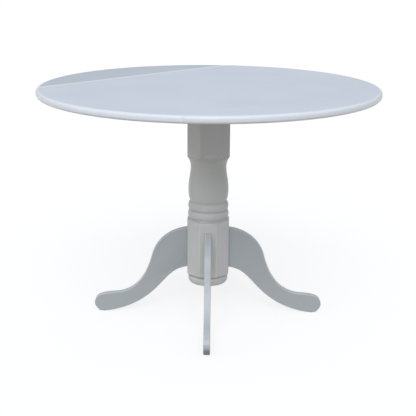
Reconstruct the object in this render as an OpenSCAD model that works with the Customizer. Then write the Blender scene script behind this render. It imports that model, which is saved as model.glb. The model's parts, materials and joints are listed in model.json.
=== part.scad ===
// Round pedestal table with two drop leaves, in millimetres.
// It stands on the floor at z = 0 and the column's axis is the Z axis.
// X runs along the two hinge lines. The rear leaf folds down at +Y and the
// front leaf at -Y. The four legs stand on the diagonals, under the corners
// between the leaves. Every leaf turns down a quarter turn, on two hinges and
// two folding stays.

/* [Top] */
// Diameter across the raised top
top_d = 1066.8; // [1050:0.1:1080]
// Height of the top surface above the floor
table_h = 749.3; // [745:0.1:755]
// Thickness of the panel and of the leaves
top_t = 22; // [20:0.5:24]
// Radius of the rounded rim, above and below
rim_r = 9; // [6:0.5:9.5]
// Distance from the column's axis to each leaf seam
seam_y = 330; // [325:1:335]
// Width of each seam
seam_gap = 0.6; // [0.5:0.1:1.5]

/* [Column] */
// Width of the eight-sided column across its flats
column_af = 134; // [133:0.5:135]
// Width of the eight-sided hollow core across its flats
core_af = 70; // [66:1:72]
// Top of the hollow core
core_top = 318; // [300:1:320]
// Bottom of the turned ring under the legs
column_foot = 107.5; // [106:0.5:109]
// Side of the square block between column and top
block_w = 300; // [260:10:300]
// Thickness of that block
block_t = 25; // [22:1:28]

/* [Legs] */
// Thickness of each leg board
leg_t = 20.5; // [20:0.5:24]
// Distance from the column's axis to the tip of each toe
toe_r = 374; // [373:1:377]
// Height of the metal glide under each toe
glide_h = 2; // [2:0.5:2.5]
// Radius of each glide
glide_r = 9; // [7:0.5:10]

/* [Battens] */
// Distance from the column's axis to the middle of each batten
batten_x = 215; // [210:1:220]
// Width of each batten
batten_w = 40; // [36:1:44]
// Thickness of each batten
batten_t = 18; // [16:1:20]
// Length of each batten
batten_l = 580; // [560:5:590]

/* [Hinges] */
// Distance from the middle of the seam to each hinge
hinge_x = 300; // [290:1:310]
// Length of each hinge
hinge_l = 60; // [60:1:66]
// Width of each flap
flap_w = 30; // [28:1:34]
// Thickness of the flaps and of the stay plates
plate_t = 2; // [1.6:0.1:2]
// Radius of the hinge knuckles
knuckle_r = 3.5; // [3.2:0.1:3.5]
// Radius of the hinge pin
hinge_pin_r = 1.75; // [1.5:0.05:1.8]

/* [Folding stays] */
// Distance from the middle of the seam to each stay
stay_x = 150; // [140:1:170]
// Distance from the seam to each end pivot of a stay
stay_reach = 80; // [76:1:84]
// Drop from the hinge axis to the end pivots
stay_drop = 8; // [8:0.5:9]
// Thickness of each stay arm and ear
arm_t = 3; // [2.5:0.1:3]
// Width of each stay arm
arm_w = 13; // [12:0.5:13]
// Radius of the stay rivets
rivet_r = 3; // [2.5:0.1:3]

/* [Fasteners] */
// Radius of the bolts that hold the legs
bolt_r = 4; // [4:0.5:5]
// Length of those bolts
bolt_l = 82; // [80:1:84]
// Radius of the leg dowels
dowel_r = 5; // [4:0.5:5]
// Length of the leg dowels
dowel_l = 20; // [16:1:22]
// Radial clearance of a pin in its hole
fit = 0.05; // [0.03:0.01:0.08]

/* [Hidden] */
$fn = 96;
under = table_h - top_t;                 // underside of panel and leaves
pin_drop = knuckle_r + 0.3;              // hinge axis below the underside
pin_z = under - pin_drop;
column_top = under - block_t;
column_in = column_af / 2;               // distance from axis to a flat
knuckles = 5;
knuckle_gap = 0.3;
arm_gap = 0.3;
arm_half = (arm_t + arm_gap) / 2;        // middle of an arm from the stay's middle
ear_half = arm_half + arm_t + arm_gap;   // middle of an ear from the stay's middle
head_t = 1.5;                            // rivet heads
head_r = rivet_r + 2;
glide_at = toe_r - 31.5;                 // middle of a glide from the column's axis
leg_angles = [45, 135, 225, 315];
bolt_heights = [212, 245];
dowel_heights = [182, 272];
washer_t = 1.6;
nut_t = 6.5;
grip = 12;                               // how far a screw goes into the top
hardware_screw = [1.7, 3.4, 1.8, grip + plate_t];     // shank r, head r, head h, length
batten_screw = [2, 4, 2.2, grip + batten_t];
block_screw = [2, 4, 2.2, grip + block_t];
column_screw = [2.5, 5, 3, block_t + 45];

// ---------------------------------------------------------------- curves

// Points of a cubic curve from p[0] to p[3], leaving out the last one.
function curve(p, steps = 10) = [
    for (i = [0 : steps - 1])
        let (t = i / steps, s = 1 - t)
            s * s * s * p[0] + 3 * s * s * t * p[1] + 3 * s * t * t * p[2] + t * t * t * p[3]
];

// Points of an arc about c, from angle a to angle b.
function arc(c, r, a, b, steps = 10) = [
    for (i = [0 : steps])
        let (t = a + (b - a) * i / steps)
            [c[0] + r * cos(t), c[1] + r * sin(t)]
];

// ---------------------------------------------------------------- colours

module painted() {
    color([0.93, 0.94, 0.95]) children();
}

module bare_wood() {
    color([0.80, 0.68, 0.50]) children();
}

module zinc() {
    color([0.70, 0.71, 0.73]) children();
}

module steel() {
    color([0.52, 0.53, 0.55]) children();
}

// ---------------------------------------------------------------- placing

// Children are drawn for the rear leaf (side 1) or mirrored for the front leaf (side -1).
module on_side(side) {
    mirror([0, side < 0 ? 1 : 0, 0]) children();
}

// Origin on the hinge axis of one leaf, x along it and +y towards the leaf.
module at_seam(side, x) {
    on_side(side) translate([x, seam_y, pin_z]) children();
}

// Children point outwards from the column along +X, turned to one leg.
module at_leg(angle) {
    rotate([0, 0, angle]) children();
}

// A rod along +X, from x = a to x = b at height z.
module radial_rod(a, b, z, r) {
    translate([a, 0, z]) rotate([0, 90, 0]) cylinder(r = r, h = b - a);
}

// Places in a stay's end plate or a hinge flap where its screws go.
function flap_holes() = [for (x = [-22, 0, 22]) [x, flap_w - 10]];
function plate_holes() = [for (x = [-11, 11], y = [-12, 12]) [x, stay_reach + y]];
function batten_holes() = [for (y = [-240, -90, 90, 240]) [0, y]];
function block_holes() = [
    for (x = [-1, 1], y = [-1, 1]) [x * (block_w / 2 - 20), y * (block_w / 2 - 20)]
];
function column_holes() = [for (a = [0 : 90 : 270]) [45 * cos(a), 45 * sin(a)]];

// ---------------------------------------------------------------- fasteners

// Countersunk screw along +Z with its head's face at z = 0. A grow above zero makes its hole.
module screw(s, grow = 0) {
    cylinder(r1 = s[1] + grow, r2 = s[0] + grow, h = s[2]);
    cylinder(r = s[0] + grow, h = s[3] + grow * 10);
}

// Every screw of one leaf's hinges and stays, on the panel side (-1) or the leaf side (1).
module hardware_screws(side, half, grow = 0) {
    for (x = [-hinge_x, hinge_x], p = flap_holes())
        at_seam(side, x + p[0])
            translate([0, half * p[1], pin_drop - plate_t]) screw(hardware_screw, grow);
    for (x = [-stay_x, stay_x], p = plate_holes())
        at_seam(side, x + p[0])
            translate([0, half * p[1], pin_drop - plate_t]) screw(hardware_screw, grow);
}

module batten_screw_set(x, grow = 0) {
    for (p = batten_holes())
        translate([x + p[0], p[1], under - batten_t]) screw(batten_screw, grow);
}

module block_screw_set(grow = 0) {
    for (p = block_holes())
        translate([p[0], p[1], column_top]) screw(block_screw, grow);
}

module column_screw_set(grow = 0) {
    for (p = column_holes())
        translate([p[0], p[1], under]) mirror([0, 0, 1]) screw(column_screw, grow);
}

module leg_bolt_set(grow = 0) {
    for (a = leg_angles, z = bolt_heights)
        at_leg(a) radial_rod(core_af / 2 - 10, core_af / 2 - 10 + bolt_l, z, bolt_r + grow);
}

module leg_dowel_set(grow = 0) {
    for (a = leg_angles, z = dowel_heights)
        at_leg(a)
            radial_rod(
                column_in - dowel_l / 2 - grow, column_in + dowel_l / 2 + grow, z, dowel_r + grow
            );
}

module glide_nail(grow = 0) {
    cylinder(r = 1.2 + grow, h = glide_h + 12 + grow);
}

// ---------------------------------------------------------------- top

// The whole round top with its rounded rim.
module disc() {
    rim = top_d / 2 - rim_r;
    translate([0, 0, under])
        rotate_extrude($fn = 180)
            polygon(concat(
                [[0, 0]],
                arc([rim, rim_r], rim_r, -90, 0, 8),
                arc([rim, top_t - rim_r], rim_r, 0, 90, 8),
                [[0, top_t]]
            ));
}

module fixed_panel() {
    painted() difference() {
        intersection() {
            disc();
            translate([-top_d, -gap_edge(-1), 0])
                cube([2 * top_d, 2 * gap_edge(-1), table_h + 1]);
        }
        for (side = [1, -1]) hardware_screws(side, -1, fit);
        for (x = [-batten_x, batten_x]) batten_screw_set(x, fit);
        block_screw_set(fit);
    }
}

// Distance from the column's axis to the panel's edge (-1) or to a leaf's edge (1).
function gap_edge(half) = seam_y + half * seam_gap / 2;

module leaf(side) {
    painted() difference() {
        intersection() {
            disc();
            on_side(side)
                translate([-top_d, gap_edge(1), 0]) cube([2 * top_d, top_d, table_h + 1]);
        }
        hardware_screws(side, 1, fit);
    }
}

module batten(x) {
    bevel = 4;
    painted() difference() {
        translate([x, batten_l / 2, under])
            rotate([90, 0, 0])
                linear_extrude(batten_l)
                    polygon([
                        [-batten_w / 2, 0], [-batten_w / 2, bevel - batten_t],
                        [bevel - batten_w / 2, -batten_t], [batten_w / 2 - bevel, -batten_t],
                        [batten_w / 2, bevel - batten_t], [batten_w / 2, 0]
                    ]);
        batten_screw_set(x, fit);
    }
}

// ---------------------------------------------------------------- pedestal

module pedestal_block() {
    bevel = 10;
    half = block_w / 2;
    painted() difference() {
        translate([0, 0, column_top])
            linear_extrude(block_t)
                polygon([
                    for (q = [[1, 1], [-1, 1], [-1, -1], [1, -1]], k = [0, 1])
                        let (first = q[0] * q[1] > 0 ? k == 0 : k == 1)
                            [q[0] * (half - (first ? 0 : bevel)), q[1] * (half - (first ? bevel : 0))]
                ]);
        block_screw_set(fit);
        column_screw_set(fit);
    }
}

// Half outline of the turned column, from the bottom ring up. Where it is wider than
// the eight-sided blank the blank's flats stay.
function turned_outline() =
    let (f = column_foot)
    concat(
        [[0, f]],
        curve([[56, f], [62, f + 1], [64.3, f + 8], [64.3, f + 16]], 8),         // base ring
        curve([[64.3, f + 16], [64.3, f + 20.5], [63.2, f + 23.5], [61, f + 24]], 4),
        curve([[61, f + 24.5], [61.5, f + 29], [66, f + 32.5], [74, f + 33.5]], 8),    // lower cove
        [[80, f + 34], [80, 318.5]],                                             // leg block
        curve([[74, 319.5], [68, 320.5], [62.8, 322], [61.4, 328]], 8),          // shoulder
        curve([[61.4, 328.5], [67.2, 334], [67.2, 347], [60.4, 353.3]], 10),     // lower bead
        curve([[60.4, 353.8], [66.4, 360], [66.4, 375], [58.4, 382]], 12),       // upper bead
        curve([[58.4, 383], [61.2, 390], [64.3, 399], [64.3, 416]], 8),                // vase
        curve([[64.3, 416], [65, 448], [57.4, 466], [57, 492]], 12),
        arc([109, 494], 52, 180, 124, 12),                                     // upper cove
        [[84, 540], [84, column_top], [0, column_top]]
    );

module eight_sided(af, z, h) {
    translate([0, 0, z])
        rotate([0, 0, 22.5]) cylinder(d = af / cos(22.5), h = h, $fn = 8);
}

module column() {
    painted() difference() {
        intersection() {
            rotate_extrude() polygon(turned_outline());
            eight_sided(column_af, column_foot - 1, column_top - column_foot + 1);
        }
        eight_sided(core_af, column_foot - 1, core_top - column_foot + 1);
        leg_bolt_set(0.3);
        leg_dowel_set(fit);
        column_screw_set(fit);
    }
}

// Side view of a leg: x is the distance from the column's axis and y the height.
function leg_outline() = concat(
    curve([[column_in, 291], [75.5, 290.3], [161.4, 280.1], [184, 193.2]], 12),  // knee
    curve([[184, 193.2], [207.7, 101.8], [252.6, 70.7], [300, 66]], 12),         // ankle
    curve([[300, 66], [toe_r - 42, 62.5], [toe_r, 64], [toe_r, 28]], 10),        // toe
    curve([[toe_r, 28], [toe_r, 18], [toe_r - 11, 8], [toe_r - 17, glide_h]], 6),
    [[toe_r - 17, glide_h]],
    curve([[toe_r - 46, glide_h], [245, 16], [202, 52], [173.4, 79.2]], 12),     // arch
    curve([[173.4, 79.2], [122.8, 132], [116.8, 148.8], [column_in, 158.5]], 12),
    [[column_in, 158.5]]
);

module leg(angle) {
    painted() difference() {
        at_leg(angle)
            rotate([90, 0, 0]) linear_extrude(leg_t, center = true) polygon(leg_outline());
        leg_bolt_set(fit);
        leg_dowel_set(fit);
        at_leg(angle) translate([glide_at, 0, 0]) glide_nail(fit);
    }
}

module foot_glides() {
    zinc() for (a = leg_angles)
        at_leg(a) translate([glide_at, 0, 0]) {
            cylinder(r1 = glide_r - 0.8, r2 = glide_r, h = 0.8);
            translate([0, 0, 0.8]) cylinder(r = glide_r, h = glide_h - 0.8);
            glide_nail();
        }
}

module leg_washers() {
    zinc() for (a = leg_angles, z = bolt_heights)
        at_leg(a) difference() {
            radial_rod(core_af / 2 - washer_t, core_af / 2, z, 2 * bolt_r);
            radial_rod(core_af / 2 - washer_t - 1, core_af / 2 + 1, z, bolt_r + fit);
        }
}

module leg_nuts() {
    nut_af = 13 + 4 * (bolt_r - 4);
    seat = core_af / 2 - washer_t;
    zinc() for (a = leg_angles, z = bolt_heights)
        at_leg(a) difference() {
            translate([seat - nut_t, 0, z])
                rotate([0, 90, 0]) cylinder(d = nut_af / cos(30), h = nut_t, $fn = 6);
            radial_rod(seat - nut_t - 1, seat + 1, z, bolt_r + fit);
        }
}

// ---------------------------------------------------------------- hinges

// One flap, with its knuckles about the pin. The panel's flap has the odd knuckles.
module flap(side, x, half) {
    first = half < 0 ? 0 : 1;
    pitch = hinge_l / knuckles;
    clear = knuckle_r + 0.4;
    zinc() difference() {
        at_seam(side, x) union() {
            mirror([0, half < 0 ? 1 : 0, 0])
                translate([-hinge_l / 2, clear, pin_drop - plate_t])
                    cube([hinge_l, flap_w - clear, plate_t]);
            for (k = [first : 2 : knuckles - 1])
                translate([(k - knuckles / 2) * pitch + knuckle_gap / 2, 0, 0]) {
                    rotate([0, 90, 0]) cylinder(r = knuckle_r, h = pitch - knuckle_gap, $fn = 48);
                    mirror([0, half < 0 ? 1 : 0, 0])
                        translate([0, 0.5, pin_drop - plate_t])
                            cube([pitch - knuckle_gap, clear + 0.5, plate_t]);
                }
        }
        at_seam(side, x)
            translate([-hinge_l, 0, 0])
                rotate([0, 90, 0]) cylinder(r = hinge_pin_r + fit, h = 2 * hinge_l, $fn = 48);
        hardware_screws(side, half, fit);
    }
}

module hinge_pins() {
    pin_head = 0.8;
    steel() for (side = [1, -1], x = [-hinge_x, hinge_x])
        at_seam(side, x) rotate([0, 90, 0]) {
            translate([0, 0, -hinge_l / 2]) cylinder(r = hinge_pin_r, h = hinge_l, $fn = 48);
            for (end = [-hinge_l / 2 - pin_head, hinge_l / 2])
                translate([0, 0, end])
                    cylinder(r = hinge_pin_r + 1, h = pin_head, $fn = 48);
        }
}

// ---------------------------------------------------------------- folding stays

// A flat bar with round ends through the points a and b of the stay's side view,
// drawn about x = middle.
module bar(a, b, middle, r, t) {
    along = b - a;
    reach = norm(along);
    translate([middle, a[0], a[1]])
        rotate([atan2(along[1], along[0]), 0, 0]) {
            translate([-t / 2, 0, 0]) rotate([0, 90, 0]) cylinder(r = r, h = t);
            translate([-t / 2, reach, 0]) rotate([0, 90, 0]) cylinder(r = r, h = t);
            translate([-t / 2, 0, -r]) cube([t, reach, 2 * r]);
        }
}

// A rod along X through the point p of the side view, between x = a and x = b.
module pivot(p, a, b, r) {
    translate([a, p[0], p[1]]) rotate([0, 90, 0]) cylinder(r = r, h = b - a);
}

panel_end = [-stay_reach, -stay_drop];
leaf_end = [stay_reach, -stay_drop];
middle_end = [0, -2 * stay_drop];

// Plate under the panel (half -1) or the leaf (half 1), with one ear for the stay's end pivot.
module stay_plate(side, x, half) {
    end = half < 0 ? panel_end : leaf_end;
    zinc() difference() {
        at_seam(side, x) union() {
            translate([-16, half * stay_reach - 20, pin_drop - plate_t])
                cube([32, 40, plate_t]);
            bar(end, [end[0], pin_drop - plate_t / 2 - 7], half * ear_half, 7, arm_t);
            translate([half * ear_half - arm_t / 2, end[0] - 7, end[1]])
                cube([arm_t, 14, pin_drop - plate_t / 2 - end[1]]);
        }
        at_seam(side, x) pivot(end, -20, 20, rivet_r + fit);
        hardware_screws(side, half, fit);
    }
}

// Arm from the panel's ear or the leaf's ear to the knuckle in the middle.
module stay_arm(side, x, half) {
    end = half < 0 ? panel_end : leaf_end;
    steel() at_seam(side, x) difference() {
        bar(end, middle_end, half * arm_half, arm_w / 2, arm_t);
        pivot(end, -20, 20, rivet_r + fit);
        pivot(middle_end, -20, 20, rivet_r + fit);
    }
}

// Rivet of an end pivot. It is fast in the ear, and the arm turns on it.
module end_rivet(side, x, half) {
    end = half < 0 ? panel_end : leaf_end;
    outer = ear_half + arm_t / 2;
    inner = arm_gap / 2 - 0.1;
    at_seam(side, x) mirror([half < 0 ? 1 : 0, 0, 0]) {
        pivot(end, inner, outer, rivet_r);
        pivot(end, outer, outer + head_t, head_r);
        pivot(end, inner - head_t, inner, head_r);
    }
}

// Rivet of the middle knuckle. It is fast in the panel's arm.
module knuckle_rivet(side, x) {
    outer = arm_half + arm_t / 2;
    steel() at_seam(side, x) {
        pivot(middle_end, -outer, outer + 0.1, rivet_r);
        pivot(middle_end, -outer - head_t, -outer, head_r);
        pivot(middle_end, outer + 0.1, outer + 0.1 + head_t, head_r);
    }
}

// ---------------------------------------------------------------- nodes

module end_rivets(sides, half) {
    steel() for (side = sides, x = [-stay_x, stay_x]) end_rivet(side, x, half);
}

fixed_panel();
leaf(1);  // rear_leaf
leaf(-1);  // front_leaf
batten(-batten_x);  // left_batten
batten(batten_x);  // right_batten
pedestal_block();
column();
leg(45);  // rear_right_leg
leg(135);  // rear_left_leg
leg(225);  // front_left_leg
leg(315);  // front_right_leg
foot_glides();
zinc() leg_bolt_set();  // leg_bolts
leg_washers();
leg_nuts();
bare_wood() leg_dowel_set();  // leg_dowels
steel() column_screw_set();  // column_screws
steel() block_screw_set();  // block_screws
steel() for (x = [-batten_x, batten_x]) batten_screw_set(x);  // batten_screws
steel() for (side = [1, -1]) hardware_screws(side, -1);  // panel_hardware_screws
steel() hardware_screws(1, 1);  // rear_leaf_screws
steel() hardware_screws(-1, 1);  // front_leaf_screws
flap(1, -hinge_x, -1);  // panel_flap_rear_left
flap(1, hinge_x, -1);  // panel_flap_rear_right
flap(-1, -hinge_x, -1);  // panel_flap_front_left
flap(-1, hinge_x, -1);  // panel_flap_front_right
flap(1, -hinge_x, 1);  // leaf_flap_rear_left
flap(1, hinge_x, 1);  // leaf_flap_rear_right
flap(-1, -hinge_x, 1);  // leaf_flap_front_left
flap(-1, hinge_x, 1);  // leaf_flap_front_right
hinge_pins();
stay_plate(1, -stay_x, -1);  // panel_plate_rear_left
stay_plate(1, stay_x, -1);  // panel_plate_rear_right
stay_plate(-1, -stay_x, -1);  // panel_plate_front_left
stay_plate(-1, stay_x, -1);  // panel_plate_front_right
stay_plate(1, -stay_x, 1);  // leaf_plate_rear_left
stay_plate(1, stay_x, 1);  // leaf_plate_rear_right
stay_plate(-1, -stay_x, 1);  // leaf_plate_front_left
stay_plate(-1, stay_x, 1);  // leaf_plate_front_right
stay_arm(1, -stay_x, -1);  // panel_arm_rear_left
stay_arm(1, stay_x, -1);  // panel_arm_rear_right
stay_arm(-1, -stay_x, -1);  // panel_arm_front_left
stay_arm(-1, stay_x, -1);  // panel_arm_front_right
stay_arm(1, -stay_x, 1);  // leaf_arm_rear_left
stay_arm(1, stay_x, 1);  // leaf_arm_rear_right
stay_arm(-1, -stay_x, 1);  // leaf_arm_front_left
stay_arm(-1, stay_x, 1);  // leaf_arm_front_right
end_rivets([1, -1], -1);  // panel_rivets
end_rivets([1], 1);  // rear_leaf_rivets
end_rivets([-1], 1);  // front_leaf_rivets
knuckle_rivet(1, -stay_x);  // knuckle_rivet_rear_left
knuckle_rivet(1, stay_x);  // knuckle_rivet_rear_right
knuckle_rivet(-1, -stay_x);  // knuckle_rivet_front_left
knuckle_rivet(-1, stay_x);  // knuckle_rivet_front_right
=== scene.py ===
"""White drop-leaf pedestal table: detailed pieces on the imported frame, light, floor and camera.

Metres throughout, in the part's own frame: Z up, floor at 0, hinge lines along X.
"""

import json
import math

import bmesh
import bpy
from mathutils import Matrix, Vector


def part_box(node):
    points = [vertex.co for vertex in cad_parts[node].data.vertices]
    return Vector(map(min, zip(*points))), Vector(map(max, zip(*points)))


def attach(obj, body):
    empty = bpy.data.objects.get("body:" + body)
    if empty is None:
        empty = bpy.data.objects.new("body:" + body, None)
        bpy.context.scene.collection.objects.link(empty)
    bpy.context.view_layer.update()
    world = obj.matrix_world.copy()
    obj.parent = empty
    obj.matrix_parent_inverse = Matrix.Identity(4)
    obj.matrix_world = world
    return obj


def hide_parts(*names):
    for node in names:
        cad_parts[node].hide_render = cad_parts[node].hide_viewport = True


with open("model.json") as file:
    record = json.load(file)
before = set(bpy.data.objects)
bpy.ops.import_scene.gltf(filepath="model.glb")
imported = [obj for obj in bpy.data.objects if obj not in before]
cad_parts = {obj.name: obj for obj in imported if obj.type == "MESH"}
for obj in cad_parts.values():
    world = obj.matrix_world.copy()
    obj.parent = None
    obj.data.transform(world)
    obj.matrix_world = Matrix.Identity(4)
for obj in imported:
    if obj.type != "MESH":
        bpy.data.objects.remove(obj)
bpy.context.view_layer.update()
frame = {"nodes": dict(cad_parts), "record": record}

MM = 0.001


# ---------------------------------------------------------------- meshes


def mesh_object(name, verts, faces):
    """A smooth-shaded mesh object from plain lists."""
    mesh = bpy.data.meshes.new(name)
    mesh.from_pydata([tuple(v) for v in verts], [], faces)
    mesh.update()
    mesh.shade_smooth()
    piece = bpy.data.objects.new(name, mesh)
    bpy.context.scene.collection.objects.link(piece)
    return piece


def outward(piece):
    """Turns every face of a closed mesh outwards."""
    work = bmesh.new()
    work.from_mesh(piece.data)
    bmesh.ops.recalc_face_normals(work, faces=work.faces)
    work.to_mesh(piece.data)
    work.free()


def attribute(piece, name, values, kind="FLOAT"):
    """Stores one value or vector per vertex for the material to read."""
    layer = piece.data.attributes.new(name, kind, "POINT")
    key = "vector" if kind == "FLOAT_VECTOR" else "value"
    flat = [c for v in values for c in v] if kind == "FLOAT_VECTOR" else list(values)
    layer.data.foreach_set(key, flat)


def ease_edges(piece, width, angle=40, segments=3):
    """Rounds the sharp edges and keeps the flats flat."""
    bevel = piece.modifiers.new("eased_edges", "BEVEL")
    bevel.width = width
    bevel.segments = segments
    bevel.limit_method = "ANGLE"
    bevel.angle_limit = math.radians(angle)
    bevel.harden_normals = True
    bevel.miter_outer = "MITER_ARC"


def dress(piece, material, body, *nodes, slot=None):
    """Gives a piece its material, its body and the CAD nodes it stands for."""
    piece.data.materials.clear()
    piece.data.materials.append(material)
    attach(piece, body)
    if nodes:
        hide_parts(*nodes)
    return piece


def rings_to_faces(faces, start, rings, around):
    """Joins rings of vertices that were added one after another."""
    for j in range(rings - 1):
        for k in range(around):
            n = (k + 1) % around
            low, high = start + j * around, start + (j + 1) * around
            faces.append([low + k, low + n, high + n, high + k])


def curve(p0, p1, p2, p3, steps):
    """Points of a cubic curve, leaving out the last one."""
    points = []
    for i in range(steps):
        t = i / steps
        s = 1 - t
        points.append(tuple(
            s**3 * a + 3 * s * s * t * b + 3 * s * t * t * c + t**3 * d
            for a, b, c, d in zip(p0, p1, p2, p3)
        ))
    return points


# ---------------------------------------------------------------- materials


def add(tree, kind, inputs=None, **settings):
    """Adds a node, sets its properties and fills or links its inputs."""
    made = tree.nodes.new(kind)
    for key, value in settings.items():
        setattr(made, key, value)
    for key, value in (inputs or {}).items():
        if isinstance(value, bpy.types.NodeSocket):
            tree.links.new(value, made.inputs[key])
        else:
            made.inputs[key].default_value = value
    return made


def remap(tree, value, low, high, to_low=0.0, to_high=1.0):
    """Value from low..high to to_low..to_high, smooth and clamped."""
    made = add(
        tree, "ShaderNodeMapRange", {"Value": value}, interpolation_type="SMOOTHSTEP", clamp=True
    )
    made.inputs["From Min"].default_value = low
    made.inputs["From Max"].default_value = high
    made.inputs["To Min"].default_value = to_low
    made.inputs["To Max"].default_value = to_high
    return made.outputs["Result"]


def math_node(tree, operation, a, b=0.0):
    """One operation on two values or sockets."""
    return add(tree, "ShaderNodeMath", {0: a, 1: b}, operation=operation).outputs[0]


def noise(tree, vector, scale, detail=3.0, roughness=0.5):
    """Cloudy noise, about 0 to 1, with scale lumps to one unit of the vector."""
    return add(
        tree, "ShaderNodeTexNoise",
        {"Vector": vector, "Scale": scale, "Detail": detail, "Roughness": roughness},
    ).outputs["Fac"]


def mix_colour(tree, factor, a, b):
    """Colour a where the factor is 0 and b where it is 1."""
    made = add(tree, "ShaderNodeMix", data_type="RGBA")
    for socket, value in (("Factor", factor), ("A", a), ("B", b)):
        target = [s for s in made.inputs if s.name == socket and s.enabled][0]
        if isinstance(value, bpy.types.NodeSocket):
            tree.links.new(value, target)
        else:
            target.default_value = value
    return [s for s in made.outputs if s.enabled][0]


def scaled(tree, vector, factors):
    """A vector multiplied axis by axis, which stretches the pattern that reads it."""
    return add(
        tree, "ShaderNodeVectorMath", {0: vector, 1: factors}, operation="MULTIPLY"
    ).outputs[0]


def new_material(name, roughness, metallic=0.0):
    """An empty material with its node tree and its shader."""
    material = bpy.data.materials.new(name)
    material.use_nodes = True
    tree = material.node_tree
    shader = tree.nodes["Principled BSDF"]
    shader.inputs["Roughness"].default_value = roughness
    shader.inputs["Metallic"].default_value = metallic
    return material, tree, shader


def grain_vector(tree, along):
    """The place in the board that a piece was sawn from: x runs with the grain.

    A piece made here carries it as an attribute. A CAD node's grain lies along one axis.
    """
    if not along:
        return add(tree, "ShaderNodeAttribute", attribute_name="board").outputs["Vector"]
    where = add(tree, "ShaderNodeTexCoord").outputs["Object"]
    place = add(tree, "ShaderNodeSeparateXYZ", {0: where}).outputs
    across = "Y" if along == "X" else "X"
    return add(tree, "ShaderNodeCombineXYZ", {
        "X": place[along], "Y": place[across], "Z": place["Z"],
    }).outputs[0]


# a painted highlight along the rear hinge line, where the leaf's eased edge catches the light
SEAM_HIGHLIGHT_TONE = (0.98, 0.99, 1.0, 1)
SEAM_INNER = 5.5 * MM                   # the painted highlight along the seam is full this far to either side
SEAM_OUTER = 9 * MM                     # and has faded away by here
SEAM_DEPTH = (6 * MM, 4 * MM)           # how far below the top the painted highlight starts, and is full


def paint(
    name, tone, edge_rub_highlight_tone, dirt_and_shade, roughness, grain_depth, coat=0.0, seam_y=None, even_rub_and_highlight=0.0, along=None
):
    """Satin paint over wood: faint grain and roller texture, edges lightened by rubbing and by a
    painted highlight, grooves darkened by dirty paint and by painted shade.

    After tone come the colour of the lightened edges, partly rubbing and partly a painted
    highlight on rims and edges, and the colour of the darkened places, partly dirty paint in
    grooves and partly painted shade in grooves, at the legs' joints and on the toes. seam_y is
    where a painted highlight line follows a hinge line. The argument after seam_y is how much of
    the lightening stays between its patches.
    """
    material, tree, shader = new_material(name, roughness)
    board = grain_vector(tree, along)
    streaks = noise(tree, scaled(tree, board, (4.0, 90.0, 90.0)), 2.0, 5.0, 0.55)
    fine = noise(tree, scaled(tree, board, (12.0, 420.0, 420.0)), 2.0, 2.0)
    mottle = noise(tree, board, 5.0, 3.0)
    peel = noise(tree, board, 650.0, 2.0)

    shade = remap(tree, mottle, 0.3, 0.7)
    body = mix_colour(tree, shade, (*[c * 0.972 for c in tone], 1), (*tone, 1))
    streaked = mix_colour(
        tree, remap(tree, streaks, 0.42, 0.75, 0.0, 0.16), body, (*[c * 0.90 for c in tone], 1)
    )
    # edges lightened partly by rubbing and partly as a painted highlight
    rub_and_highlight = add(tree, "ShaderNodeAttribute", attribute_name="wear_and_highlight").outputs["Fac"]
    patches = remap(tree, noise(tree, board, 38.0, 4.0), 0.35, 0.62, even_rub_and_highlight, 1.0)
    rub_and_highlight = math_node(tree, "MULTIPLY", rub_and_highlight, patches)
    rubbed_and_highlighted = mix_colour(tree, rub_and_highlight, streaked, (*edge_rub_highlight_tone, 1))
    # a painted highlight line along the rear hinge line, on the upper face only
    if seam_y:
        place = add(tree, "ShaderNodeSeparateXYZ", {0: board}).outputs
        off = math_node(tree, "ABSOLUTE", math_node(tree, "SUBTRACT", place["Y"], seam_y))
        line = remap(tree, off, SEAM_INNER, SEAM_OUTER, 1.0, 0.0)
        line = math_node(tree, "MULTIPLY", line, remap(tree, mottle, 0.2, 0.6, 0.92, 1.0))
        upper = remap(tree, place["Z"], TOP_Z - SEAM_DEPTH[0], TOP_Z - SEAM_DEPTH[1])
        line = math_node(tree, "MULTIPLY", line, upper)
        rubbed_and_highlighted = mix_colour(tree, line, rubbed_and_highlighted, SEAM_HIGHLIGHT_TONE)
    # darker in grooves, partly dirty paint and partly painted shade; darker as painted shade at
    # the legs' joints and toes
    deep = add(tree, "ShaderNodeAttribute", attribute_name="cavity").outputs["Fac"]
    patchy = remap(tree, noise(tree, board, 60.0), 0.2, 0.7, 0.5, 1)
    deep = math_node(tree, "MULTIPLY", deep, patchy)
    coloured = mix_colour(tree, deep, rubbed_and_highlighted, (*dirt_and_shade, 1))
    tree.links.new(coloured, shader.inputs["Base Color"])

    gloss = remap(tree, streaks, 0.3, 0.7, roughness - 0.04, roughness + 0.05)
    gloss = math_node(tree, "ADD", gloss, remap(tree, mottle, 0.3, 0.7, -0.02, 0.03))
    tree.links.new(gloss, shader.inputs["Roughness"])
    shader.inputs["Coat Weight"].default_value = coat
    shader.inputs["Coat Roughness"].default_value = 0.22
    shader.inputs["Specular IOR Level"].default_value = 0.5

    pores = add(
        tree, "ShaderNodeBump", {"Height": streaks, "Strength": 0.6, "Distance": grain_depth}
    )
    lines = add(tree, "ShaderNodeBump", {
        "Height": fine, "Strength": 0.4, "Distance": grain_depth * 0.5,
        "Normal": pores.outputs["Normal"],
    })
    skin = add(tree, "ShaderNodeBump", {
        "Height": peel, "Strength": 0.25, "Distance": 0.00012, "Normal": lines.outputs["Normal"],
    })
    tree.links.new(skin.outputs["Normal"], shader.inputs["Normal"])
    return material


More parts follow.
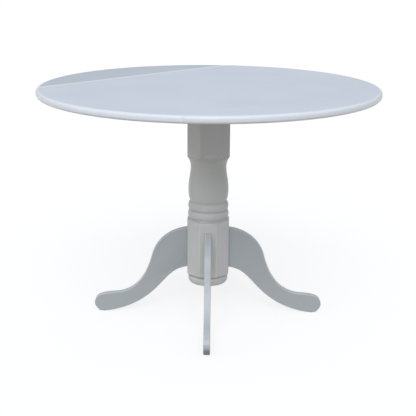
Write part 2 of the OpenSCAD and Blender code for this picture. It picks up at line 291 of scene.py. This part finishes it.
def metal(name, tone, tarnish, roughness, scratch_axis):
    """Plated or rolled steel: brushed lines one way, cloudy plating and dull specks."""
    material, tree, shader = new_material(name, roughness, metallic=1.0)
    place = add(tree, "ShaderNodeTexCoord").outputs["Object"]
    stretch = [900.0, 900.0, 900.0]
    stretch[scratch_axis] = 30.0
    brushed = noise(tree, scaled(tree, place, stretch), 1.0, 3.0)
    cloud = noise(tree, place, 130.0, 4.0)
    specks = remap(tree, noise(tree, place, 900.0, 2.0), 0.62, 0.72)
    base = mix_colour(tree, remap(tree, cloud, 0.35, 0.65), (*tone, 1), (*tarnish, 1))
    base = mix_colour(
        tree, math_node(tree, "MULTIPLY", specks, 0.5), base, (*[c * 0.45 for c in tone], 1)
    )
    tree.links.new(base, shader.inputs["Base Color"])
    gloss = remap(tree, brushed, 0.3, 0.7, roughness - 0.08, roughness + 0.12)
    gloss = math_node(tree, "ADD", gloss, math_node(tree, "MULTIPLY", specks, 0.2))
    tree.links.new(gloss, shader.inputs["Roughness"])
    bump = add(tree, "ShaderNodeBump", {"Height": brushed, "Strength": 0.3, "Distance": 0.00006})
    tree.links.new(bump.outputs["Normal"], shader.inputs["Normal"])
    return material


def beech(name):
    """Bare planed hardwood with growth rings and short dark pores."""
    material, tree, shader = new_material(name, 0.6)
    place = add(tree, "ShaderNodeTexCoord").outputs["Object"]
    rings = add(tree, "ShaderNodeTexWave", {
        "Vector": scaled(tree, place, (1.0, 5.0, 5.0)), "Scale": 9.0, "Distortion": 6.0,
        "Detail": 3.0,
    }).outputs["Fac"]
    pores = remap(tree, noise(tree, scaled(tree, place, (90.0, 900.0, 900.0)), 1.0), 0.6, 0.7)
    base = mix_colour(tree, rings, (0.56, 0.40, 0.24, 1), (0.68, 0.52, 0.34, 1))
    base = mix_colour(tree, math_node(tree, "MULTIPLY", pores, 0.5), base, (0.30, 0.18, 0.09, 1))
    tree.links.new(base, shader.inputs["Base Color"])
    bump = add(tree, "ShaderNodeBump", {"Height": pores, "Strength": 0.4, "Distance": -0.0001})
    tree.links.new(bump.outputs["Normal"], shader.inputs["Normal"])
    return material


panel_low, panel_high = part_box("fixed_panel")
rear_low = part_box("rear_leaf")[0]
front_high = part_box("front_leaf")[1]
TOP_Z = panel_high[2]
UNDER_Z = panel_low[2]
SEAM_Y = (panel_high[1] + rear_low[1]) / 2
top_paint = paint(
    "top_paint", (0.798, 0.850, 0.940), (0.92, 0.94, 0.975), (0.42, 0.44, 0.46), 0.36, 0.00008,
    coat=0.15, seam_y=SEAM_Y, even_rub_and_highlight=0.8,
)
# the rear leaf's white is set darker than the top's: painted shade, where the leaf droops a little
# away from the light
shaded_leaf_paint = paint(
    "shaded_leaf_paint", (0.635, 0.695, 0.758), (0.92, 0.93, 0.95), (0.42, 0.44, 0.46), 0.38, 0.00008,
    coat=0.15, seam_y=SEAM_Y, even_rub_and_highlight=0.8,
)
# the legs' white is set darker than the top's: a shaded copy of the same paint. Their darkest
# colour is painted shade at the joints and the toes
leg_paint = paint(
    "leg_paint", (0.507, 0.543, 0.555), (0.86, 0.885, 0.905), (0.15, 0.155, 0.16), 0.42, 0.00014,
    even_rub_and_highlight=0.75,
)
# the column's white is set darker than the top's: a shaded copy of the same paint
column_paint = paint(
    "column_paint", (0.698, 0.700, 0.692), (0.88, 0.885, 0.885), (0.30, 0.31, 0.32), 0.42, 0.00012,
)
batten_paint = paint(
    "batten_paint", (0.630, 0.655, 0.690), (0.80, 0.81, 0.83), (0.30, 0.31, 0.32), 0.46, 0.00014,
    along="Y",
)
zinc = metal("zinc_plate", (0.62, 0.63, 0.66), (0.50, 0.52, 0.56), 0.34, 0)
steel = metal("bright_steel", (0.55, 0.55, 0.56), (0.42, 0.42, 0.43), 0.28, 1)
dowel_wood = beech("bare_beech")


# ---------------------------------------------------------------- top

TOP_R = (panel_high[0] - panel_low[0]) / 2
RIM_R = 9 * MM                          # the rim is rounded this much above and below
ROUND_STEPS = 10
RIM_SIDES = 256
FLAT_IN = 2 * MM                        # the flat faces start this far inside the rounding
PANEL_EASE = 0.9 * MM
LEAF_EASE = 1.5 * MM


def wooden_disc(name):
    """The whole round top with its rounded rim, before the leaves are cut from it."""
    ring = []
    for i in range(ROUND_STEPS + 1):
        a = math.pi / 2 * i / ROUND_STEPS
        ring.append((TOP_R - RIM_R + RIM_R * math.sin(a), TOP_Z - RIM_R + RIM_R * math.cos(a)))
    for i in range(ROUND_STEPS + 1):
        a = math.pi / 2 * i / ROUND_STEPS
        ring.append((TOP_R - RIM_R + RIM_R * math.cos(a), UNDER_Z + RIM_R - RIM_R * math.sin(a)))
    ring = [(ring[0][0] - FLAT_IN, TOP_Z)] + ring + [(ring[0][0] - FLAT_IN, UNDER_Z)]
    verts, faces = [], []
    for r, z in ring:
        for k in range(RIM_SIDES):
            a = 2 * math.pi * (k + 0.5) / RIM_SIDES
            verts.append((r * math.cos(a), r * math.sin(a), z))
    for j in range(len(ring) - 1):
        for k in range(RIM_SIDES):
            n = (k + 1) % RIM_SIDES
            faces.append([
                j * RIM_SIDES + k, (j + 1) * RIM_SIDES + k,
                (j + 1) * RIM_SIDES + n, j * RIM_SIDES + n,
            ])
    faces.append(list(range(RIM_SIDES)))
    last = (len(ring) - 1) * RIM_SIDES
    faces.append([last + k for k in reversed(range(RIM_SIDES))])
    return mesh_object(name, verts, faces)


def cut_square(piece, y, keep):
    """Saws the piece along the plane at y and keeps the side that keep points to."""
    work = bmesh.new()
    work.from_mesh(piece.data)
    cut = bmesh.ops.bisect_plane(
        work, geom=[*work.verts, *work.edges, *work.faces], dist=1e-7,
        plane_co=(0, y, 0), plane_no=(0, keep, 0), clear_inner=True,
    )
    rim = [e for e in cut["geom_cut"] if isinstance(e, bmesh.types.BMEdge)]
    made = bmesh.ops.contextual_create(work, geom=rim)["faces"]
    for face in made:
        face.smooth = False
    bmesh.ops.recalc_face_normals(work, faces=work.faces)
    work.to_mesh(piece.data)
    work.free()


def top_piece(name, cuts, ease, material, body, node):
    """One board of the top. cuts are (y, direction to keep), and ease rounds the sawn edges."""
    piece = wooden_disc(name)
    for y, keep in cuts:
        cut_square(piece, y, keep)
    places = [v.co.copy() for v in piece.data.vertices]
    attribute(piece, "board", places, "FLOAT_VECTOR")
    # the rim is lightened nearly evenly all round: partly rubbing, partly a painted highlight
    rim_wear_and_highlight = [0.8 if math.hypot(p.x, p.y) > TOP_R - RIM_R - 1 * MM else 0.0 for p in places]
    attribute(piece, "wear_and_highlight", rim_wear_and_highlight)
    attribute(piece, "cavity", [0.0] * len(places))
    ease_edges(piece, ease, angle=50)
    return dress(piece, material, body, node, slot="painted_top")


panel_cuts = [(panel_low[1], 1), (panel_high[1], -1)]
rear_cut = [(rear_low[1], 1)]
front_cut = [(front_high[1], -1)]
top_piece("panel_board", panel_cuts, PANEL_EASE, top_paint, "table", "fixed_panel")
top_piece("rear_leaf_board", rear_cut, LEAF_EASE, shaded_leaf_paint, "rear_leaf", "rear_leaf")
top_piece("front_leaf_board", front_cut, LEAF_EASE, top_paint, "front_leaf", "front_leaf")


# ---------------------------------------------------------------- column

column_low, column_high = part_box("column")
COLUMN_IN = (column_high[0] - column_low[0]) / 2
COLUMN_FOOT = column_low[2] / MM
COLUMN_TOP = column_high[2] / MM
SIDES = 8
FLAT_STEPS = 26
ARRIS = 1.6                             # how softly the turning meets the flats, in millimetres
CORNER_OFF = 0.35                       # taken off each corner between two flats
CORNER_SOFT = 1.2                       # and how softly, in millimetres
ARRIS_WEAR_AND_HIGHLIGHT = 0.8                        # how far below a corner its paint is rubbed and lightened as a painted highlight
BLANK_R = 80                            # wider than the eight-sided blank, which then stays whole
CORE_IN = 35 * MM                       # from the axis to a flat of the hollow core
CORE_TOP = 318 * MM
GROOVE_REACH = 7                        # grooves and crests show against this far up and down


def climb(radius, low, high, count):
    """Evenly spaced points up a straight stretch."""
    return [(radius, low + i * (high - low) / (count - 1)) for i in range(count)]


def turned_outline():
    """Radius and height of the turned column from its foot up, in millimetres."""
    f = COLUMN_FOOT
    points = curve((56, f), (62, f + 1), (64.3, f + 8), (64.3, f + 16), 14)
    points += curve((64.3, f + 16), (64.3, f + 20.5), (63.2, f + 23.5), (61, f + 24), 8)
    points += curve((61, f + 24.5), (61.5, f + 29), (66, f + 32.5), (74, f + 33.5), 16)
    points += climb(BLANK_R, f + 34, 318.5, 14)
    points += curve((74, 319.5), (68, 320.5), (62.8, 322), (61.4, 328), 16)
    points += curve((61.4, 328.5), (67.2, 334), (67.2, 347), (60.4, 353.3), 22)
    points += curve((60.4, 353.8), (66.4, 360), (66.4, 375), (58.4, 382), 24)
    points += curve((58.4, 383), (61.2, 390), (64.3, 399), (64.3, 416), 16)
    points += curve((64.3, 416), (65, 448), (57.4, 466), (57, 492), 24)
    cove_x, cove_z, cove_r, cove_steps = 109, 494, 52, 36
    for i in range(cove_steps + 1):
        a = math.radians(180 - 56 * i / cove_steps)
        points.append((cove_x + cove_r * math.cos(a), cove_z + cove_r * math.sin(a)))
    points += climb(BLANK_R, 540, COLUMN_TOP, 13)
    return points


def flat_radius(angle):
    """Distance from the axis to the eight-sided blank at an angle."""
    step = 2 * math.pi / SIDES
    off = (angle + step / 2) % step - step / 2
    return COLUMN_IN / MM / math.cos(off)


def soft_min(a, b, k):
    """The smaller of two radii, blended over k where they meet."""
    h = max(k - abs(a - b), 0.0) / k
    return min(a, b) - h * h * k / 4


def column_skin():
    """The turned outside: its points, faces and what the paint reads at each point."""
    outline = turned_outline()
    around = SIDES * FLAT_STEPS
    corner = flat_radius(math.pi / SIDES)
    verts, faces, wear_and_highlight, cavity, board = [], [], [], [], []
    for r, z in outline:
        near = [q[0] for q in outline if abs(q[1] - z) < GROOVE_REACH]
        sunk = sum(near) / len(near) - r
        groove, crest = max(0.0, sunk), max(0.0, -sunk)
        for k in range(around):
            a = 2 * math.pi * k / around
            flat = flat_radius(a)
            blunt = soft_min(flat, corner - CORNER_OFF, CORNER_SOFT)
            radius = soft_min(r, blunt, ARRIS) * MM
            verts.append((radius * math.cos(a), radius * math.sin(a), z * MM))
            # corners and crests are lightened partly by rubbing and partly as a painted highlight
            arris = max(0.0, 1 - abs(flat - corner) / ARRIS_WEAR_AND_HIGHLIGHT) if r > flat else 0.0
            wear_and_highlight.append(0.55 * arris + 0.3 * min(1.0, crest))
            # grooves are darkened partly by dirty paint and partly as painted shade
            cavity.append(min(0.4, groove * 0.15))
            board.append((z * MM, radius * math.cos(a), radius * math.sin(a)))
    rings_to_faces(faces, 0, len(outline), around)
    return verts, faces, wear_and_highlight, cavity, board, around


def hollow_column():
    """The column's outside, its foot and the eight-sided core that the leg bolts go into."""
    verts, faces, wear_and_highlight, cavity, board, around = column_skin()
    start = len(verts)
    # the core's top end is darker than its foot
    for z, core_darkening in ((COLUMN_FOOT * MM, 0.0), (CORE_TOP, 0.6)):
        for k in range(around):
            a = 2 * math.pi * k / around
            r = CORE_IN * flat_radius(a) / (COLUMN_IN / MM)
            verts.append((r * math.cos(a), r * math.sin(a), z))
            wear_and_highlight.append(0.0)
            cavity.append(core_darkening)
            board.append((z, r * math.cos(a), r * math.sin(a)))
    for k in range(around):
        n = (k + 1) % around
        faces.append([k, start + k, start + n, n])
        faces.append([start + k, start + around + k, start + around + n, start + n])
    faces.append([start + around + k for k in range(around)])
    top = start - around
    faces.append([top + k for k in range(around)])
    piece = mesh_object("turned_column", verts, faces)
    outward(piece)
    attribute(piece, "board", board, "FLOAT_VECTOR")
    attribute(piece, "wear_and_highlight", wear_and_highlight)
    attribute(piece, "cavity", cavity)
    piece.data.set_sharp_from_angle(angle=math.radians(48))
    return dress(piece, column_paint, "table", "column", slot="painted_pedestal")


hollow_column()


# ---------------------------------------------------------------- legs

LEG_HALF = 10.25 * MM                   # half a leg's thickness
LEG_EASE = 2.6 * MM
EASE_STEPS = 5
LEG_TOP = 291                           # where the leg meets the column, in millimetres
LEG_LOW = 158.5
BUTT_STEPS = 12
TOE_SHADE = 44 * MM                     # how far up the toe's blunt end the painted shade reaches
JOINT_SHADE = 4 * MM                    # how far from the column the painted shade at the joint reaches


def leg_outline():
    """Side view of a leg: distance from the column's axis and height, in metres."""
    glide_h = 2
    toe = max(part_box("rear_right_leg")[1][0], 0) / MM * math.sqrt(2) - LEG_HALF / MM
    inner = COLUMN_IN / MM
    points = curve((inner, LEG_TOP), (75.5, 290.3), (161.4, 280.1), (184, 193.2), 30)
    points += curve((184, 193.2), (207.7, 101.8), (252.6, 70.7), (300, 66), 30)
    points += curve((300, 66), (toe - 42, 62.5), (toe, 64), (toe, 28), 24)
    points += curve((toe, 28), (toe, 18), (toe - 11, 8), (toe - 17, glide_h), 12)
    points += curve((toe - 17, glide_h), (toe - 27, glide_h), (toe - 36, glide_h),
                    (toe - 46, glide_h), 6)
    points += curve((toe - 46, glide_h), (245, 16), (202, 52), (173.4, 79.2), 34)
    points += curve((173.4, 79.2), (122.8, 132), (116.8, 148.8), (inner, LEG_LOW), 26)
    points += [
        (inner, LEG_LOW + i * (LEG_TOP - LEG_LOW) / BUTT_STEPS) for i in range(BUTT_STEPS)
    ]
    return [(r * MM, z * MM) for r, z in points]


def inset(outline, depth, fixed_r):
    """The outline moved inwards, except the end that butts on the column."""
    moved = []
    for i, (r, z) in enumerate(outline):
        before, after = outline[i - 1], outline[(i + 1) % len(outline)]
        dr, dz = after[0] - before[0], after[1] - before[1]
        size = math.hypot(dr, dz) or 1.0
        new_r = fixed_r if r <= fixed_r + 1e-6 else r - depth * dz / size
        moved.append((max(fixed_r, new_r), z + depth * dr / size))
    return moved


def leg_piece(name, angle, node):
    """One flat leg with eased edges, turned about the column to its diagonal."""
    outline = leg_outline()
    area = sum(
        a[0] * b[1] - b[0] * a[1] for a, b in zip(outline, outline[1:] + outline[:1])
    )
    turn = 1 if area > 0 else -1
    inner = COLUMN_IN
    rings = []
    for side in (-1, 1):
        steps = range(EASE_STEPS + 1)
        for i in steps if side < 0 else reversed(steps):
            a = math.pi / 2 * i / EASE_STEPS
            depth = LEG_EASE * (1 - math.sin(a))
            y = side * (LEG_HALF - LEG_EASE * (1 - math.cos(a)))
            rings.append((depth, y, math.sin(a), math.sin(2 * a)))
    side_in = LEG_EASE + 1.5 * MM       # a ring on each flat side keeps its shading flat
    rings = [(side_in, -LEG_HALF, 0.0, 0.0)] + rings + [(side_in, LEG_HALF, 0.0, 0.0)]
    toe = max(r for r, z in outline)
    verts, board, wear_and_highlight, cavity = [], [], [], []
    spin = Matrix.Rotation(math.radians(angle), 4, "Z")
    for depth, y, edge, arris in rings:
        for r, z in inset(outline, depth * turn, inner):
            verts.append(spin @ Vector((r, y, z)))
            # the grain runs down the leg's slope, and the angle gives each leg its own board
            board.append((r * 0.75 - z * 0.65, y + z * 0.3 + angle, z * 0.75 + r * 0.65))
            # the eased edges are lightened partly by rubbing and partly as a painted highlight
            wear_and_highlight.append(0.32 * edge + 0.25 * arris)
            # painted shade where the leg meets the column and on the toe's blunt end
            joint = max(0.0, 0.25 * (1 - (r - inner) / JOINT_SHADE))
            toe_shade = edge * max(0.0, 1 - z / TOE_SHADE) if r > toe - TOE_SHADE else 0.0
            cavity.append(max(joint, min(1.0, 1.3 * toe_shade)))
    around = len(outline)
    faces = []
    rings_to_faces(faces, 0, len(rings), around)
    faces.append(list(range(around)))
    last = (len(rings) - 1) * around
    faces.append([last + k for k in range(around)])
    piece = mesh_object(name, verts, faces)
    outward(piece)
    attribute(piece, "board", board, "FLOAT_VECTOR")
    attribute(piece, "wear_and_highlight", wear_and_highlight)
    attribute(piece, "cavity", cavity)
    piece.data.set_sharp_from_angle(angle=math.radians(55))
    return dress(piece, leg_paint, "table", node, slot="painted_pedestal")


LEG_ANGLES = (
    ("rear_right_leg", 45), ("rear_left_leg", 135),
    ("front_left_leg", 225), ("front_right_leg", 315),
)

for leg_name, leg_angle in LEG_ANGLES:
    leg_piece(leg_name + "_board", leg_angle, leg_name)


# ---------------------------------------------------------------- screws and rivets

BODY_OF = {
    node: body for body, nodes in frame["record"]["behaviour"]["bodies"].items() for node in nodes
}


def solids(node):
    """Lowest and highest corner of each separate solid in a CAD node."""
    work = bmesh.new()
    work.from_mesh(frame["nodes"][node].data)
    bmesh.ops.remove_doubles(work, verts=work.verts, dist=1e-6)
    left = set(work.verts)
    boxes = []
    while left:
        found, queue = [], [left.pop()]
        while queue:
            vert = queue.pop()
            found.append(vert.co.copy())
            near = {edge.other_vert(vert) for edge in vert.link_edges} & left
            left -= near
            queue += near
        boxes.append((
            Vector(min(v[i] for v in found) for i in range(3)),
            Vector(max(v[i] for v in found) for i in range(3)),
        ))
    work.free()
    return sorted(boxes, key=lambda box: tuple(box[0]))


def add_screw(verts, faces, centre, head_z, head_r, length, turn):
    """A countersunk cross-head screw that points up, with its head's face at head_z."""
    around = 36                         # three for each corner of the cross
    arm, half = 0.56 * head_r, 0.15 * head_r
    deep = 0.5 * head_r
    cross = [(arm, -half), (arm, half), (half, half)]
    cross = [
        (x * c - y * s, x * s + y * c)
        for c, s in ((1, 0), (0, 1), (-1, 0), (0, -1)) for x, y in cross
    ]
    corners = len(cross)
    start = len(verts)

    def ring(points, z):
        for x, y in points:
            verts.append((
                centre[0] + x * math.cos(turn) - y * math.sin(turn),
                centre[1] + x * math.sin(turn) + y * math.cos(turn), head_z + z,
            ))

    def circle(r):
        angles = [math.radians(-15 + 360 * k / around) for k in range(around)]
        return [(r * math.cos(a), r * math.sin(a)) for a in angles]

    ring([(0.75 * x, 0.75 * y) for x, y in cross], deep)
    ring(cross, 0)
    faces.append([start + i for i in range(corners)])
    rings_to_faces(faces, start, 2, corners)
    rim = start + 2 * corners
    shank = 0.5 * head_r
    profile = [
        (0.97 * head_r, 0), (head_r, 0.06 * head_r), (shank, 0.55 * head_r),
        (shank, length - 2 * head_r), (0.1 * shank, length),
    ]
    for r, z in profile:
        ring(circle(r), z)
    for i in range(corners):
        j = (i + 1) % corners
        outer = [rim + (3 * i + k) % around for k in (3, 2, 1, 0)]
        faces.append([start + corners + i, start + corners + j, *outer])
    rings_to_faces(faces, rim, len(profile), around)
    last = rim + (len(profile) - 1) * around
    faces.append([last + k for k in range(around)])


def screw_set(node):
    """Cross-head screws in place of a CAD node's plain ones, each turned its own way."""
    verts, faces = [], []
    for i, (low, high) in enumerate(solids(node)):
        centre = (low + high) / 2
        head_r = (high[0] - low[0]) / 2
        add_screw(verts, faces, centre, low[2], head_r, high[2] - low[2], 2.4 * i)
    piece = mesh_object(node + "_cross_head", verts, faces)
    outward(piece)
    piece.data.set_sharp_from_angle(angle=math.radians(35))
    return dress(piece, steel, BODY_OF[node], node, slot="steel")


def rivet_set(node):
    """Domed rivets along X in place of a CAD node's flat-headed ones."""
    around, dome_steps = 32, 6
    head_t, shank_r = 1.5 * MM, 3 * MM
    verts, faces = [], []
    for low, high in solids(node):
        centre = (low + high) / 2
        head_r = (high[2] - low[2]) / 2
        dome = [
            (head_r * math.sin(a), head_t * (1 - math.cos(a)))
            for a in (math.pi / 2 * (i + 0.2) / (dome_steps + 0.2) for i in range(dome_steps + 1))
        ]
        profile = [(r, low[0] + x) for r, x in dome] + [(shank_r, low[0] + head_t)]
        profile += [(shank_r, high[0] - head_t)] + [(r, high[0] - x) for r, x in reversed(dome)]
        start = len(verts)
        for r, x in profile:
            for k in range(around):
                a = 2 * math.pi * k / around
                verts.append((x, centre[1] + r * math.cos(a), centre[2] + r * math.sin(a)))
        rings_to_faces(faces, start, len(profile), around)
        faces.append([start + k for k in range(around)])
        faces.append([start + (len(profile) - 1) * around + k for k in range(around)])
    piece = mesh_object(node + "_domed", verts, faces)
    outward(piece)
    piece.data.set_sharp_from_angle(angle=math.radians(40))
    return dress(piece, steel, BODY_OF[node], node, slot="steel")


for node_name in frame["nodes"]:
    if node_name.endswith("_screws") and node_name != "column_screws":
        screw_set(node_name)
    elif "rivet" in node_name:
        rivet_set(node_name)


# ---------------------------------------------------------------- parts kept from the CAD

KEPT = (
    (("batten",), batten_paint, 1.2),
    (("pedestal_block",), batten_paint, 1.5),
    (("leg_dowels",), dowel_wood, 0),
    (("arm",), steel, 0.4),
    (("column_screws", "pins"), steel, 0),
    (("flap", "plate"), zinc, 0.3),
    (("glides", "bolts", "washers", "nuts"), zinc, 0.3),
)

for node_name, node in frame["nodes"].items():
    for words, finish, ease in KEPT:
        if not node.hide_render and any(word in node_name for word in words):
            node.data.materials.clear()
            node.data.materials.append(finish)
            if ease:
                weld = node.modifiers.new("welded", "WELD")
                weld.merge_threshold = 0.001 * MM
                ease_edges(node, ease * MM, segments=2)
            break


# ---------------------------------------------------------------- floor, light and camera

FLOOR = 40                              # half the floor's side; the backdrop stands outside it
floor_corners = [(-FLOOR, -FLOOR, 0), (FLOOR, -FLOOR, 0), (FLOOR, FLOOR, 0), (-FLOOR, FLOOR, 0)]
floor = mesh_object("floor", floor_corners, [[0, 1, 2, 3]])
floor_material, floor_tree, floor_shader = new_material("pale_floor", 0.9)
floor_shader.inputs["Base Color"].default_value = (0.30, 0.30, 0.30, 1)
floor_shader.inputs["Specular IOR Level"].default_value = 0.1
floor_shader.inputs["Emission Color"].default_value = (1, 1, 1, 1)
floor_shader.inputs["Emission Strength"].default_value = 0.76
floor.data.materials.append(floor_material)
facing_up = add(floor_tree, "ShaderNodeMixShader", {
    "Fac": add(floor_tree, "ShaderNodeNewGeometry").outputs["Backfacing"],
    1: floor_shader.outputs[0],
    2: add(floor_tree, "ShaderNodeBsdfTransparent").outputs[0],
})
floor_tree.links.new(facing_up.outputs[0], floor_tree.nodes["Material Output"].inputs["Surface"])
floor.visible_diffuse = False           # the pale floor shows, and throws no light back up

bpy.ops.mesh.primitive_uv_sphere_add(segments=48, ring_count=24, radius=1.5 * FLOOR)
backdrop = bpy.context.object
backdrop.name = "backdrop"
backdrop_material, backdrop_tree, backdrop_shader = new_material("pale_backdrop", 1.0)
backdrop_shader.inputs["Base Color"].default_value = (0, 0, 0, 1)
backdrop_shader.inputs["Specular IOR Level"].default_value = 0.0
backdrop_shader.inputs["Emission Color"].default_value = (1, 1, 1, 1)
backdrop_shader.inputs["Emission Strength"].default_value = 1.0
backdrop.data.materials.append(backdrop_material)
backdrop.visible_diffuse = False
backdrop.visible_glossy = False
backdrop.visible_shadow = False

VIEW_TURN = math.radians(-44.63)        # the camera stands on the front left diagonal

world = bpy.data.worlds.new("studio")
bpy.context.scene.world = world
world.use_nodes = True
sky = world.node_tree
height = add(sky, "ShaderNodeSeparateXYZ", {
    0: add(sky, "ShaderNodeTexCoord").outputs["Generated"],
}).outputs["Z"]
background = sky.nodes["Background"]
# the light is stronger from overhead and a little weaker from below
overhead = remap(sky, height, 0.05, 0.50, 0.32, 0.58)
from_below = remap(sky, height, -0.7, 0.0, 0.80, 1.0)
glow = math_node(sky, "MULTIPLY", overhead, from_below)
sky.links.new(glow, background.inputs["Strength"])
sky.links.new(
    mix_colour(sky, remap(sky, height, 0.0, 0.8), (1.0, 0.985, 0.955, 1), (0.92, 0.97, 1.06, 1)),
    background.inputs["Color"],
)


def soft_sun(name, azimuth, elevation, strength, spread, colour):
    """A sun from an azimuth seen from the camera (0 behind it, 90 on its left) and a height."""
    light = bpy.data.lights.new(name, "SUN")
    light.energy = strength
    light.angle = math.radians(spread)
    light.color = colour
    lamp = bpy.data.objects.new(name, light)
    around = VIEW_TURN - math.pi / 2 - math.radians(azimuth)
    up = math.radians(elevation)
    source = Vector((
        math.cos(up) * math.cos(around), math.cos(up) * math.sin(around), math.sin(up)
    ))
    lamp.rotation_euler = source.to_track_quat("Z", "Y").to_euler()
    bpy.context.scene.collection.objects.link(lamp)


soft_sun("key", 2, 43, 1.36, 44, (0.94, 0.98, 1.04))
soft_sun("side_fill", 80, 8, 0.33, 40, (1.0, 0.99, 0.97))

CAMERA_DISTANCE = 2.940                 # from the column's axis, along the floor
CAMERA_HEIGHT = 1.181
CAMERA_SIDE = -0.001                    # to the left of the line through that axis
CAMERA_PITCH = 15.70                    # degrees below level
CAMERA_ROLL = 0.38
FOCAL_PIXELS = 946
IMAGE_PIXELS = 416

camera_data = bpy.data.cameras.new("camera")
camera_data.sensor_width = 36.0
camera_data.lens = 36.0 * FOCAL_PIXELS / IMAGE_PIXELS
camera_data.clip_end = 400
camera = bpy.data.objects.new("camera", camera_data)
bpy.context.scene.collection.objects.link(camera)
camera.matrix_world = (
    Matrix.Rotation(VIEW_TURN, 4, "Z")
    @ Matrix.Translation((CAMERA_SIDE, -CAMERA_DISTANCE, CAMERA_HEIGHT))
    @ Matrix.Rotation(math.radians(90 - CAMERA_PITCH), 4, "X")
    @ Matrix.Rotation(math.radians(CAMERA_ROLL), 4, "Z")
)
bpy.context.scene.camera = camera
bpy.context.scene.view_settings.view_transform = "Standard"
